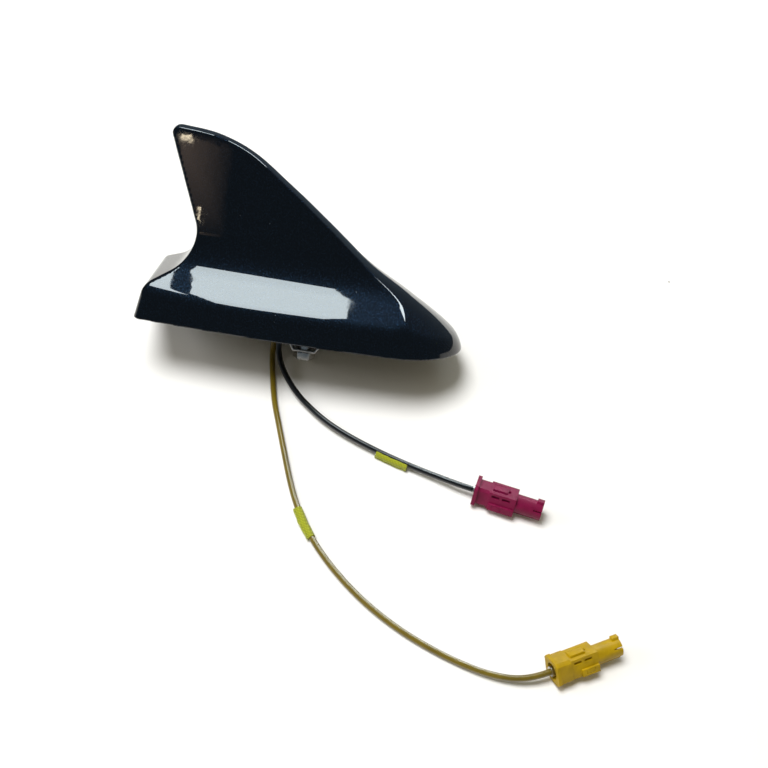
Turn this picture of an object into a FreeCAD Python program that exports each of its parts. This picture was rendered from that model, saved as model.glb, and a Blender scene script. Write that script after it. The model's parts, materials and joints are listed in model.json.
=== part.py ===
import FreeCAD, Part
import math
import os
import re
import Sketcher

from FreeCAD import Matrix, Placement, Rotation, Vector

# A fin-shaped car roof antenna. The origin is on the bolt's axis, in the roof's plane; +X points
# to the nose, +Z up. Its leads lie on a table that slopes under the antenna, as when it is put down
# on its bolt and one edge of its base. Millimetres and degrees.
SIZES = {
    # fin cover, seen from above
    "rear_reach": 80.5,
    "nose_reach": 77.0,
    "nose_length": 37.0,
    "rear_half_width": 30.0,
    "middle_half_width": 33.6,
    "nose_half_width": 32.6,
    "rear_corner_radius": 4.0,
    "skirt_lean": 10.0,
    "rim_height": 0.6,
    "cover_wall": 2.2,
    # fin cover, seen from the front
    "shoulder_half_width": 29.5,
    "shoulder_height": 14.0,
    "flank_slope": 33.5,
    "flank_radius": 24.0,
    "blade_top_half": 4.0,
    "blade_lean": 3.6,
    "crown_radius": 45.0,
    # fin cover, seen from the side
    "fin_height": 88.1,
    "tip_setback": 7.5,
    "tip_radius": 4.5,
    "tip_rise": 3.0,
    "trailing_lean": 20.6,
    "waist_height": 31.6,
    "waist_radius": 19.0,
    "tail_slope": 29.0,
    "shoulder_round": 4.0,
    # base
    "base_fit": 0.4,
    "gasket_thickness": 2.4,
    "gasket_inset": 0.6,
    "chassis_thickness": 3.6,
    "chassis_inset": 1.4,
    "key_rear": 20.0,
    "key_front": 8.0,
    "key_width": 15.0,
    "key_depth": 4.0,
    "key_clearance": 1.0,
    "screw_boss_diameter": 6.0,
    "screw_boss_depth": 7.0,
    "cover_screw_rear": 62.0,
    "cover_screw_front": 50.0,
    "cover_screw_spread": 17.0,
    "screw_diameter": 2.6,
    "screw_head_diameter": 5.0,
    "screw_head_height": 1.6,
    "bolt_diameter": 6.0,
    "bolt_head_across_corners": 11.5,
    "bolt_head_height": 4.0,
    "bolt_drop": 17.0,
    "bolt_engagement": 8.5,
    "claw_thickness": 1.0,
    "claw_half_base": 5.6,
    "claw_half_span": 9.4,
    "claw_height": 6.5,
    "claw_width": 9.0,
    "claw_hole_clearance": 0.2,
    # electronics
    "standoff_height": 3.0,
    "standoff_diameter": 6.0,
    "board_thickness": 1.6,
    "board_rear": 58.0,
    "board_front": 44.0,
    "board_width": 40.0,
    "board_screw_inset": 6.0,
    "shield_length": 25.0,
    "shield_width": 20.0,
    "shield_height": 2.4,
    "shield_wall": 0.4,
    "shield_rear": 47.0,
    "satellite_side": 25.0,
    "satellite_thickness": 4.0,
    "satellite_place": 3.0,
    "gps_side": 20.0,
    "gps_thickness": 4.0,
    "gps_place": 30.0,
    "electrode_margin": 2.0,
    "electrode_thickness": 0.3,
    "feed_offset": 2.5,
    "feed_diameter": 1.0,
    "feed_head_diameter": 2.2,
    "phone_blade_thickness": 1.2,
    "phone_blade_rear_setback": 28.5,
    "phone_blade_length": 38.0,
    "phone_blade_shoulder": 37.0,
    "phone_blade_top": 63.0,
    "phone_blade_top_setback": 19.0,
    "phone_blade_top_length": 15.5,
    "radiator_thickness": 0.3,
    "radiator_width": 6.0,
    "radiator_margin": 2.0,
    # leads
    "cable_diameter": 2.8,
    "lead_place": 14.25,
    "lead_half_gap_x": 1.25,
    "lead_half_gap_y": 1.8,
    "grommet_diameter": 11.0,
    "grommet_flange": 1.0,
    "grommet_lip": 1.0,
    "crimp_diameter": 4.0,
    "crimp_length": 2.4,
    "tape_thickness": 0.45,
    "tape_length": 16.0,
    "olive_flag_width": 1.0,
    "black_flag_width": 1.6,
    "flag_thickness": 0.8,
    # plugs
    "plug_length": 32.5,
    "flange_thickness": 1.8,
    "flange_width": 11.4,
    "neck_length": 5.2,
    "curry_neck_side": 10.8,
    "bordeaux_neck_side": 9.2,
    "neck_corner_share": 1.24,
    "shell_length": 13.0,
    "shell_width": 9.4,
    "shell_height": 9.2,
    "curry_rail_gap": 4.6,
    "bordeaux_rail_gap": 0.8,
    "rail_proud": 0.9,
    "rail_top": 1.2,
    "collar_diameter": 8.6,
    "collar_bore": 6.6,
    "collar_depth": 11.0,
    "key_tab_length": 3.2,
    "key_tab_width": 2.4,
    "key_tab_height": 1.2,
    "guide_rib_width": 1.6,
    "guide_rib_height": 0.9,
    "latch_length": 4.0,
    "latch_height": 1.3,
    "latch_width": 4.4,
    "rear_hole_diameter": 7.4,
    "rear_hole_depth": 5.0,
    "tongue_length": 7.0,
    "tongue_width": 3.6,
    "tongue_proud": 0.5,
    "tongue_slot": 0.9,
    "tongue_notch": 1.1,
    "window_length": 3.6,
    "window_height": 1.3,
    "window_depth": 1.2,
    "window_gap": 1.4,
    "window_place": 1.5,
    "collar_slit": 0.8,
    "collar_slit_length": 4.0,
    "lock_length": 4.2,
    "lock_height": 1.8,
    "lock_depth": 1.6,
    "lock_place": 2.0,
    "lock_clearance": 0.1,
    "ferrule_diameter": 4.6,
    "ferrule_length": 9.0,
    "ferrule_proud": 0.8,
    "contact_diameter": 5.0,
    "contact_wall": 0.4,
    "contact_setback": 2.0,
    "insulator_setback": 6.0,
    "pin_diameter": 1.0,
    "pin_length": 10.0,
    "pin_setback": 3.5,
}

# The spine's line from the nose to the tip: how far behind the nose, and how high, its crown is there.
SPINE = {
    "front": (-7.0, -1.8),
    "nose": (7.0, 9.5),
    "bonnet": (29.0, 23.0),
    "brow": (51.0, 35.3),
    "lower": (73.0, 52.1),
    "upper": (94.0, 67.7),
    "crest": (114.6, 81.3),
    "crown": (129.0, 86.3),
    "tip": (145.0, 88.0),
    "behind": (161.0, 88.3),
}

# Routes of the free leads, from the grommet to the middle of the tape and on to the plug.
OLIVE_TO_TAPE = [
    (-15.5, 1.8, -11.5),
    (-15.4, -1.0, -18.0),
    (-13.6, -10.0, -23.8),
    (-10.4, -23.6, -32.3),
    (-5.8, -35.8, -39.6),
    (-1.4, -47.7, -46.7),
    (3.6, -61.1, -54.6),
    (8.2, -71.4, -60.8),
    (14.2, -81.6, -66.7),
]
OLIVE_TO_PLUG = [
    (23.0, -92.4, -73.1),
    (34.6, -102.9, -79.4),
    (47.2, -111.9, -84.8),
    (61.7, -119.8, -89.5),
    (75.6, -125.4, -92.8),
    (88.6, -129.8, -95.0),
    (100.6, -133.0, -96.1),
    (111.6, -134.6, -95.6),
    (120.9, -133.6, -93.6),
    (126.6, -131.1, -91.8),
]
BLACK_TO_TAPE = [
    (-13.0, -1.8, -11.0),
    (-11.6, -5.0, -17.4),
    (-7.2, -12.4, -23.0),
    (0.2, -20.8, -28.7),
    (8.2, -27.2, -32.6),
    (16.4, -32.7, -35.9),
    (26.2, -37.5, -38.7),
    (37.4, -41.7, -41.3),
    (50.6, -45.9, -43.9),
]
BLACK_TO_PLUG = [
    (64.6, -50.1, -45.9),
    (75.4, -53.6, -46.9),
    (83.0, -56.4, -47.4),
    (88.9, -57.6, -47.9),
]
TABLE_LEAN = 30.8
CURRY_ROLL = -36.0
BORDEAUX_ROLL = -20.0

CORD_ARC_SHARE = 0.45
FAR = 130.0
BELOW = 12.0

doc = FreeCAD.newDocument("roof_antenna")
sheet = doc.addObject("Spreadsheet::Sheet", "Sizes")
kept = []


def fill_sheet():
    """Gives each driving dimension a cell of its own, with its name as alias."""
    rows = dict(SIZES)
    for name, (setback, height) in SPINE.items():
        rows["spine_setback_" + name] = setback
        rows["spine_height_" + name] = height
    for row, (alias, value) in enumerate(rows.items(), start=1):
        sheet.set("A%d" % row, alias)
        sheet.set("B%d" % row, str(value))
        sheet.setAlias("B%d" % row, alias)
    doc.recompute()
    return re.compile(r"\b(%s)\b" % "|".join(rows))


ALIAS = fill_sheet()


def size(expression):
    """The value of an expression in the sheet's names."""
    return float(sheet.evalExpression(expression))


def bound(expression):
    """The same expression as another object of the document reads it."""
    return ALIAS.sub(r"Sizes.\1", expression)


def bind(item, **expressions):
    for name, expression in expressions.items():
        item.setExpression(name, bound(expression))
    return item


def at(item, x="0", y="0", z="0"):
    """Binds an object's place to the sheet."""
    for axis, expression in zip("xyz", (x, y, z)):
        item.setExpression(".Placement.Base." + axis, bound(expression))
    return item


def keep(item, label):
    """Marks an object as a sub-part, with the label that names its file."""
    item.Label = label
    kept.append(item)
    return item


def box(name, length, width, height, x, y, z):
    """A block that is centred in Y and starts at x and z."""
    item = doc.addObject("Part::Box", name)
    bind(item, Length=length, Width=width, Height=height)
    return at(item, x, "%s - (%s) / 2" % (y, width), z)


def cylinder(name, diameter, height, x="0", y="0", z="0"):
    item = doc.addObject("Part::Cylinder", name)
    bind(item, Radius="(%s) / 2" % diameter, Height=height)
    return at(item, x, y, z)


def rod(name, diameter, length, x):
    """A cylinder along X."""
    item = cylinder(name, diameter, length, x)
    item.Placement.Rotation = Rotation(Vector(0, 1, 0), 90)
    return item


def fuse(name, *items):
    whole = doc.addObject("Part::MultiFuse", name)
    whole.Shapes = list(items)
    return whole


def cut(name, base, *tools):
    whole = doc.addObject("Part::Cut", name)
    whole.Base = base
    whole.Tool = tools[0] if len(tools) == 1 else fuse(name + "_tools", *tools)
    return whole


def group(name, *items):
    """Separate solids that share a node."""
    whole = doc.addObject("Part::Compound", name)
    whole.Links = list(items)
    return whole


def freeform(name, shape):
    item = doc.addObject("Part::Feature", name)
    item.Shape = shape
    return item


def origin_plane(body, role):
    return next(f for f in body.Origin.OriginFeatures if f.Role == role)


def outline_sketch(body, name, role, corners):
    """A closed outline of straight edges; each corner is a pair of expressions."""
    sketch = body.newObject("Sketcher::SketchObject", name)
    sketch.AttachmentSupport = [(origin_plane(body, role), "")]
    sketch.MapMode = "FlatFace"
    spots = [Vector(size(x), size(y), 0) for x, y in corners]
    for start, end in zip(spots, spots[1:] + spots[:1]):
        sketch.addGeometry(Part.LineSegment(start, end), False)
    count = len(corners)
    for edge in range(count):
        sketch.addConstraint(Sketcher.Constraint("Coincident", edge, 2, (edge + 1) % count, 1))
    for edge, (x, y) in enumerate(corners):
        for kind, expression, value in (("DistanceX", x, spots[edge].x), ("DistanceY", y, spots[edge].y)):
            index = sketch.addConstraint(Sketcher.Constraint(kind, edge, 1, value))
            sketch.setExpression("Constraints[%d]" % index, bound(expression))
    return sketch


def padded(body, name, sketch, length):
    """A pad to both sides of the sketch's plane."""
    pad = body.newObject("PartDesign::Pad", name)
    pad.Profile = sketch
    pad.Midplane = True
    bind(pad, Length=length)
    sketch.Visibility = False
    return pad


# Fin cover


def plan_wire(inset, z):
    """The cover's outline from above, moved in by an inset: rear edge, two long sides and the nose."""
    rear = -size("rear_reach") + inset
    start = size("nose_reach - nose_length")
    nose = size("nose_length") - inset
    half_rear = size("rear_half_width") - inset
    half_middle = size("middle_half_width") - inset
    half_nose = size("nose_half_width") - inset
    middle = (rear + start) / 2

    def spot(x, y):
        return Vector(x, y, z)

    stretch = Matrix()
    stretch.scale(nose, half_nose, 1)
    stretch.move(spot(start, 0))
    nose_line = Part.makeCircle(1, Vector(), Vector(0, 0, 1), -90, 90).transformGeometry(stretch)
    near = Part.Arc(spot(rear, -half_rear), spot(middle, -half_middle), spot(start, -half_nose))
    far = Part.Arc(spot(start, half_nose), spot(middle, half_middle), spot(rear, half_rear))
    back = Part.LineSegment(spot(rear, half_rear), spot(rear, -half_rear))
    return Part.Wire([near.toShape(), nose_line, far.toShape(), back.toShape()])


def plan_volume(inset, low, high):
    """The skirt's walls, which lean inwards as they rise."""
    lean = math.tan(math.radians(size("skirt_lean")))
    outlines = [plan_wire(inset + z * lean, z) for z in (low, high)]
    solid = Part.makeLoft(outlines, True, True)
    corners = [e for e in solid.Edges if abs(e.Vertexes[0].Z - e.Vertexes[-1].Z) > (high - low) / 2
               and e.CenterOfMass.x < 0]
    return solid.makeFillet(size("rear_corner_radius") - inset / 2, corners)


def flat_plate(inset, low, high):
    """A plate with straight walls inside the cover's outline."""
    return Part.Face(plan_wire(inset, low)).extrude(Vector(0, 0, high - low))


def line_meeting(point_a, way_a, point_b, way_b):
    """Where two lines in a plane cross; each is a point and a direction (u, v)."""
    cross = way_a[0] * way_b[1] - way_a[1] * way_b[0]
    along = ((point_b[0] - point_a[0]) * way_b[1] - (point_b[1] - point_a[1]) * way_b[0]) / cross
    return (point_a[0] + along * way_a[0], point_a[1] + along * way_a[1])


def rounded_corner(before, corner, after, radius):
    """The start, middle and end of an arc that rounds a corner in a plane."""
    to_before = FreeCAD.Base.Vector2d(before[0] - corner[0], before[1] - corner[1])
    to_after = FreeCAD.Base.Vector2d(after[0] - corner[0], after[1] - corner[1])
    to_before = to_before * (1 / to_before.length())
    to_after = to_after * (1 / to_after.length())
    half = math.acos(to_before.x * to_after.x + to_before.y * to_after.y) / 2
    reach = radius / math.tan(half)
    bisector = to_before + to_after
    bisector = bisector * (1 / bisector.length())
    depth = radius / math.sin(half) - radius
    return (
        (corner[0] + to_before.x * reach, corner[1] + to_before.y * reach),
        (corner[0] + bisector.x * depth, corner[1] + bisector.y * depth),
        (corner[0] + to_after.x * reach, corner[1] + to_after.y * reach),
    )


def flank_volume(inset):
    """The front section, drawn along X: sloping shoulders that sweep up into the upright blade."""
    slope = math.radians(size("flank_slope"))
    lean = math.radians(size("blade_lean"))
    up_slope = (-math.cos(slope), math.sin(slope))
    up_blade = (-math.sin(lean), math.cos(lean))
    on_slope = (size("shoulder_half_width") - inset * math.sin(slope),
                size("shoulder_height") - inset * math.cos(slope))
    on_blade = (size("blade_top_half") - inset, size("fin_height"))
    corner = line_meeting(on_slope, up_slope, on_blade, up_blade)
    top = (on_blade[0] - size("tip_radius") * math.tan(lean), on_blade[1] + size("tip_radius"))
    bottom = (FAR, on_slope[1] - (FAR - on_slope[0]) * math.tan(slope))
    start, middle, end = rounded_corner(bottom, corner, top, size("flank_radius") + inset)

    def spot(y, z):
        return Vector(-FAR, y, z)

    def side(sign):
        return [
            Part.LineSegment(spot(sign * bottom[0], bottom[1]), spot(sign * start[0], start[1])).toShape(),
            Part.Arc(spot(sign * start[0], start[1]), spot(sign * middle[0], middle[1]),
                     spot(sign * end[0], end[1])).toShape(),
            Part.LineSegment(spot(sign * end[0], end[1]), spot(sign * top[0], top[1])).toShape(),
        ]

    top_edge = Part.LineSegment(spot(top[0], top[1]), spot(-top[0], top[1])).toShape()
    bottom_edge = Part.LineSegment(spot(-bottom[0], bottom[1]), spot(bottom[0], bottom[1])).toShape()
    wire = Part.Wire(Part.__sortEdges__(side(1) + [top_edge] + side(-1) + [bottom_edge]))
    return Part.Face(wire).extrude(Vector(2 * FAR, 0, 0))


def spine_volume(inset):
    """A loft of arches under the spine: narrow ridge on the blade, crowned bonnet at the nose."""
    radius = size("crown_radius") - inset
    half = size("middle_half_width") + size("tip_radius")
    fall = radius - math.sqrt(radius ** 2 - half ** 2)
    floor = -size("fin_height")
    line = [Vector(size("nose_reach - spine_setback_" + name), 0, size("spine_height_" + name))
            for name in SPINE]
    ahead = line[:1] + line[:-1]
    behind = line[1:] + line[-1:]
    arches = []
    for point, before, after in zip(line, ahead, behind):
        inwards = Vector(0, 1, 0).cross(before - after).normalize()
        x = point.x + inset * inwards.x
        z = point.z + inset * inwards.z
        left, crown, right = Vector(x, -half, z - fall), Vector(x, 0, z), Vector(x, half, z - fall)
        arches.append(Part.Wire([
            Part.Arc(left, crown, right).toShape(),
            Part.LineSegment(right, Vector(x, half, floor)).toShape(),
            Part.LineSegment(Vector(x, half, floor), Vector(x, -half, floor)).toShape(),
            Part.LineSegment(Vector(x, -half, floor), left).toShape(),
        ]))
    return Part.makeLoft(arches, True, False)


def tail_space(inset):
    """What is cut away behind the fin: the round tip, the trailing edge, the waist and the scooped tail."""
    lean = math.radians(size("trailing_lean"))
    slope = math.radians(size("tail_slope"))
    rise = math.radians(size("tip_rise"))
    radius = size("tip_radius")
    centre = (-size("rear_reach") + size("tip_setback") + radius, size("fin_height") - radius)
    tip = radius - inset
    top = (centre[0] - tip * math.sin(rise), centre[1] + tip * math.cos(rise))
    back = (centre[0] - tip * math.cos(lean), centre[1] - tip * math.sin(lean))
    outer = (centre[0] - tip * math.sin(math.pi / 4), centre[1] + tip * math.sin(math.pi / 4))
    down = (math.sin(lean), -math.cos(lean))
    waist_drop = (size("fin_height") - radius - size("waist_height")) / math.cos(lean)
    waist = (centre[0] - radius * math.cos(lean) + waist_drop * down[0],
             centre[1] - radius * math.sin(lean) + waist_drop * down[1])
    rearward = (-math.cos(slope), -math.sin(slope))
    on_tail = (waist[0] + inset * math.sin(slope), waist[1] - inset * math.cos(slope))
    corner = line_meeting(back, down, on_tail, rearward)
    tail_end = (corner[0] + FAR * rearward[0], corner[1] + FAR * rearward[1])
    start, middle, end = rounded_corner(back, corner, tail_end, size("waist_radius") + inset)
    front = (top[0] + FAR * math.cos(rise), top[1] + FAR * math.sin(rise))

    def spot(point):
        return Vector(point[0], -FAR, point[1])

    rim = [spot(p) for p in (tail_end, (tail_end[0], 2 * FAR), (front[0], 2 * FAR), front)]
    edges = [
        Part.LineSegment(spot(front), spot(top)).toShape(),
        Part.Arc(spot(top), spot(outer), spot(back)).toShape(),
        Part.LineSegment(spot(back), spot(start)).toShape(),
        Part.Arc(spot(start), spot(middle), spot(end)).toShape(),
        Part.LineSegment(spot(end), spot(tail_end)).toShape(),
    ]
    edges += [Part.LineSegment(a, b).toShape() for a, b in zip(rim, rim[1:])]
    return Part.Face(Part.Wire(edges)).extrude(Vector(0, 2 * FAR, 0))


def fin_solid(inset, low):
    """The fin as a full solid, moved in by an inset, down to a height."""
    waist = size("waist_height")
    lower = Part.makeBox(2 * FAR, 2 * FAR, waist - low, Vector(-FAR, -FAR, low))
    upper = Part.makeBox(2 * FAR, 2 * FAR, size("fin_height + tip_radius") - low, Vector(-FAR, -FAR, low))
    blank = flank_volume(inset).common(spine_volume(inset)).common(upper).cut(tail_space(inset))
    return blank.cut(lower.cut(plan_volume(inset, low, waist))).Solids[0]


def rounded_shoulder(solid):
    """Rounds the two long edges between the skirt and the sloping flanks."""
    side_length = size("rear_reach + nose_reach - nose_length") / 2
    outer_half = size("shoulder_half_width") - size("shoulder_round")
    edges = [e for e in solid.Edges if e.Length > side_length and abs(e.CenterOfMass.y) > outer_half
             and e.CenterOfMass.z > size("shoulder_height") / 2]
    return solid.makeFillet(size("shoulder_round"), edges)


def cover_screw_places():
    """Where the four screws from below hold the cover, as pairs of expressions."""
    spread = "cover_screw_spread"
    return [(x, sign + spread) for x in ("-cover_screw_rear", "cover_screw_front") for sign in ("", "-")]


def fin_cover():
    """The thin shell, with four bosses inside that take the screws."""
    outer = rounded_shoulder(fin_solid(0, size("rim_height")))
    shell = outer.cut(fin_solid(size("cover_wall"), -BELOW))
    wall_middle = fin_solid(size("cover_wall / 2"), -BELOW)
    for x, y in cover_screw_places():
        foot = Vector(size(x), size(y), size(BOARD_DECK))
        post = Part.makeCylinder(size("screw_boss_diameter / 2"), size("waist_height"), foot)
        hole = Part.makeCylinder(size("screw_diameter / 2"), size("screw_boss_depth"), foot)
        shell = shell.fuse(post.common(wall_middle)).cut(hole)
    return keep(freeform("FinCover", shell.Solids[0]), "fin_cover")


# Base

CHASSIS_FOOT = "gasket_thickness"
BOARD_DECK = "(gasket_thickness + chassis_thickness)"
BOARD_FOOT = "(gasket_thickness + chassis_thickness + standoff_height)"
BOARD_TOP = "(gasket_thickness + chassis_thickness + standoff_height + board_thickness)"
KEY_LENGTH = "(key_rear + key_front)"
LEADS = {
    "olive": ("-lead_place - lead_half_gap_x", "lead_half_gap_y"),
    "black": ("-lead_place + lead_half_gap_x", "-lead_half_gap_y"),
}


def under_cover(margin, low, high):
    """A plate that fills the cover's mouth, clear of its leaning walls and its low nose."""
    fit = size("cover_wall + base_fit")
    return flat_plate(fit + margin, low, high).common(fin_solid(fit, -BELOW)).Solids[0]


def roof_gasket():
    """A flat rubber pad under the chassis, open round the locating key."""
    pad = freeform("GasketPad", under_cover(size("gasket_inset"), 0, size("gasket_thickness")))
    hole = box("GasketHole", KEY_LENGTH + " + 2 * key_clearance", "key_width + 2 * key_clearance",
               "gasket_thickness", "-key_rear - key_clearance", "0", "0")
    return keep(cut("Gasket", pad, hole), "roof_gasket")


def board_screw_places():
    """Where the board is screwed to the chassis, as pairs of expressions."""
    return [(x, sign + "(board_width / 2 - board_screw_inset)")
            for x in ("-board_rear + board_screw_inset", "board_front - board_screw_inset")
            for sign in ("", "-")]


def base_chassis():
    """The die-cast plate with its locating key below, four standoffs above and all its holes."""
    slab = under_cover(size("chassis_inset"), size(CHASSIS_FOOT), size(BOARD_DECK))
    plate = freeform("ChassisPlate", slab)
    key = box("ChassisKey", KEY_LENGTH, "key_width", "key_depth + gasket_thickness + chassis_thickness",
              "-key_rear", "0", "-key_depth")
    solids = [plate, key]
    tools = [
        cylinder("BoltBore", "bolt_diameter", "bolt_engagement", z="-key_depth"),
        cylinder("LeadHole", "grommet_diameter", "key_depth + " + BOARD_DECK, "-lead_place",
                 z="-key_depth"),
    ]
    for index, (x, y) in enumerate(board_screw_places()):
        solids.append(cylinder("Standoff%d" % index, "standoff_diameter", "standoff_height", x, y,
                               BOARD_DECK))
        tools.append(cylinder("StandoffBore%d" % index, "screw_diameter", "standoff_height", x, y,
                              BOARD_DECK))
    for index, (x, y) in enumerate(cover_screw_places()):
        tools.append(cylinder("CoverScrewHole%d" % index, "screw_diameter", "chassis_thickness", x, y,
                              CHASSIS_FOOT))
        tools.append(cylinder("CoverScrewSink%d" % index, "screw_head_diameter", "screw_head_height", x, y,
                              CHASSIS_FOOT))
    return keep(cut("Chassis", fuse("ChassisBlank", *solids), *tools), "base_chassis")


def screw(name, x, y, head_foot, head_up, length):
    """A pan screw; its shank goes up from a low head, or down from a high one."""
    head = cylinder(name + "Head", "screw_head_diameter", "screw_head_height", x, y, head_foot)
    shank_foot = head_foot + (" - (%s)" % length if head_up else " + screw_head_height")
    shank = cylinder(name + "Shank", "screw_diameter", length, x, y, shank_foot)
    return fuse(name, head, shank)


def cover_screws():
    length = "chassis_thickness - screw_head_height + screw_boss_depth"
    screws = [screw("CoverScrew%d" % index, x, y, CHASSIS_FOOT, False, length)
              for index, (x, y) in enumerate(cover_screw_places())]
    return keep(group("CoverScrews", *screws), "cover_screws")


def mounting_bolt():
    """A hexagon bolt, head down, screwed up into the chassis."""
    head = doc.addObject("Part::Prism", "BoltHead")
    head.Polygon = 6
    bind(head, Circumradius="bolt_head_across_corners / 2", Height="bolt_head_height")
    at(head, z="-bolt_drop")
    shank_length = "bolt_drop - bolt_head_height - key_depth + bolt_engagement"
    shank = cylinder("BoltShank", "bolt_diameter", shank_length, z="-bolt_drop + bolt_head_height")
    return keep(fuse("Bolt", head, shank), "mounting_bolt")


def retaining_claw():
    """A strip of spring steel on the bolt's head, its two arms bent up and out."""
    body = doc.addObject("PartDesign::Body", "Claw")
    foot = "(bolt_head_height - bolt_drop)"
    base = "claw_half_base"
    span = "claw_half_span"
    tall = foot + " + claw_height"
    thick = "claw_thickness"
    corners = [
        ("-" + base, foot), (base, foot), (span, tall), (span + " - " + thick, tall),
        (base + " - " + thick + " / 2", foot + " + " + thick),
        ("-" + base + " + " + thick + " / 2", foot + " + " + thick),
        ("-" + span + " + " + thick, tall), ("-" + span, tall),
    ]
    padded(body, "ClawStrip", outline_sketch(body, "ClawOutline", "XZ_Plane", corners), "claw_width")
    hole = cylinder("ClawHole", "bolt_diameter + 2 * claw_hole_clearance", thick, z=foot)
    return keep(cut("ClawDrilled", body, hole), "retaining_claw")


def cable_grommet():
    """A rubber bush in the chassis, with a lip on both sides and a hole for each lead."""
    place = ("-lead_place", "0")
    bush = cylinder("GrommetBush", "grommet_diameter", "key_depth + grommet_flange + " + BOARD_DECK, *place,
                    "-key_depth - grommet_flange")
    lip = cylinder("GrommetLip", "grommet_diameter + 2 * grommet_lip", "grommet_flange", *place,
                   "-key_depth - grommet_flange")
    holes = [cylinder("Grommet%sHole" % name.title(), "cable_diameter",
                      "key_depth + grommet_flange + " + BOARD_DECK, x, y, "-key_depth - grommet_flange")
             for name, (x, y) in LEADS.items()]
    return keep(cut("Grommet", fuse("GrommetBlank", bush, lip), *holes), "cable_grommet")


# Electronics


def main_board():
    board = box("BoardBlank", "board_rear + board_front", "board_width", "board_thickness",
                "-board_rear", "0", BOARD_FOOT)
    holes = [cylinder("BoardHole%d" % index, "screw_diameter", "board_thickness", x, y, BOARD_FOOT)
             for index, (x, y) in enumerate(board_screw_places())]
    holes += [cylinder("Board%sFeedHole" % name.title(), "feed_diameter", "board_thickness",
                       "%s_place + feed_offset" % name, "0", BOARD_FOOT) for name in ("satellite", "gps")]
    return keep(cut("Board", board, *holes), "main_board")


def board_screws():
    screws = [screw("BoardScrew%d" % index, x, y, BOARD_TOP, True, "standoff_height + board_thickness")
              for index, (x, y) in enumerate(board_screw_places())]
    return keep(group("BoardScrews", *screws), "board_screws")


def shield_can():
    """A thin metal can under the board, open towards it."""
    foot = BOARD_FOOT + " - shield_height"
    can = box("ShieldBlank", "shield_length", "shield_width", "shield_height", "-shield_rear", "0", foot)
    space = box("ShieldSpace", "shield_length - 2 * shield_wall", "shield_width - 2 * shield_wall",
                "shield_height - shield_wall", "-shield_rear + shield_wall", "0", foot + " + shield_wall")
    return keep(cut("Shield", can, space), "shield_can")


def patch_element(name):
    """A ceramic tile on the board with its silver electrode and its feed pin."""
    side, tall, place = name + "_side", name + "_thickness", name + "_place"
    feed = place + " + feed_offset"
    top = BOARD_TOP + " + " + tall
    electrode_side = side + " - 2 * electrode_margin"
    word = name.title()
    tile = box(word + "Blank", side, side, tall, "%s - %s / 2" % (place, side), "0", BOARD_TOP)
    tile_hole = cylinder(word + "Hole", "feed_diameter", tall, feed, "0", BOARD_TOP)
    keep(cut(word + "Patch", tile, tile_hole), name + "_patch")
    film = box(word + "Film", electrode_side, electrode_side, "electrode_thickness",
               "%s - (%s) / 2" % (place, electrode_side), "0", top)
    film_hole = cylinder(word + "FilmHole", "feed_diameter", "electrode_thickness", feed, "0", top)
    keep(cut(word + "Electrode", film, film_hole), name + "_electrode")
    length = tall + " + board_thickness + electrode_thickness"
    shank = cylinder(word + "Feed", "feed_diameter", length, feed, "0", BOARD_FOOT)
    head = cylinder(word + "FeedHead", "feed_head_diameter", "electrode_thickness", feed, "0",
                    top + " + electrode_thickness")
    keep(fuse(word + "FeedPin", shank, head), name + "_feed_pin")


def phone_blade():
    """The upright board in the fin, standing on the main board, and the metal strip on its side."""
    top = BOARD_TOP + " + phone_blade_top"
    shoulder = BOARD_TOP + " + phone_blade_shoulder"
    rear = "phone_blade_rear_setback - rear_reach"
    front = rear + " + phone_blade_length"
    top_rear = "phone_blade_top_setback - rear_reach"
    top_front = top_rear + " + phone_blade_top_length"
    corners = [
        (rear, BOARD_TOP), (front, BOARD_TOP), (front, shoulder),
        (top_front, top), (top_rear, top), (rear, shoulder),
    ]
    body = doc.addObject("PartDesign::Body", "PhoneBlade")
    padded(body, "PhoneBladePad", outline_sketch(body, "PhoneBladeOutline", "XZ_Plane", corners),
           "phone_blade_thickness")
    keep(body, "phone_blade")
    strip = box("Radiator", "radiator_width", "radiator_thickness",
                "phone_blade_shoulder - 2 * radiator_margin", rear + " + radiator_margin",
                "-(phone_blade_thickness + radiator_thickness) / 2", BOARD_TOP + " + radiator_margin")
    keep(strip, "phone_radiator")


def lead_tails():
    """The stretch of each lead from the board down through the grommet, with its crimp sleeve."""
    sleeves = []
    for name, (x, y) in LEADS.items():
        foot = "-key_depth - grommet_flange"
        length = BOARD_FOOT + " + key_depth + grommet_flange"
        keep(cylinder(name.title() + "Tail", "cable_diameter", length, x, y, foot), name + "_tail")
        blank = cylinder(name.title() + "Crimp", "crimp_diameter", "crimp_length", x, y,
                         BOARD_FOOT + " - crimp_length")
        bore = cylinder(name.title() + "CrimpBore", "cable_diameter", "crimp_length", x, y,
                        BOARD_FOOT + " - crimp_length")
        sleeves.append(cut(name.title() + "Sleeve", blank, bore))
    keep(group("TailCrimps", *sleeves), "tail_crimps")


# Free leads


def route_points(route, name):
    """The chosen points, after one on the tail's end under the grommet."""
    x, y = LEADS[name]
    start = Vector(size(x), size(y), -size("key_depth + grommet_flange"))
    return [start] + [Vector(*point) for point in route]


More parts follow.
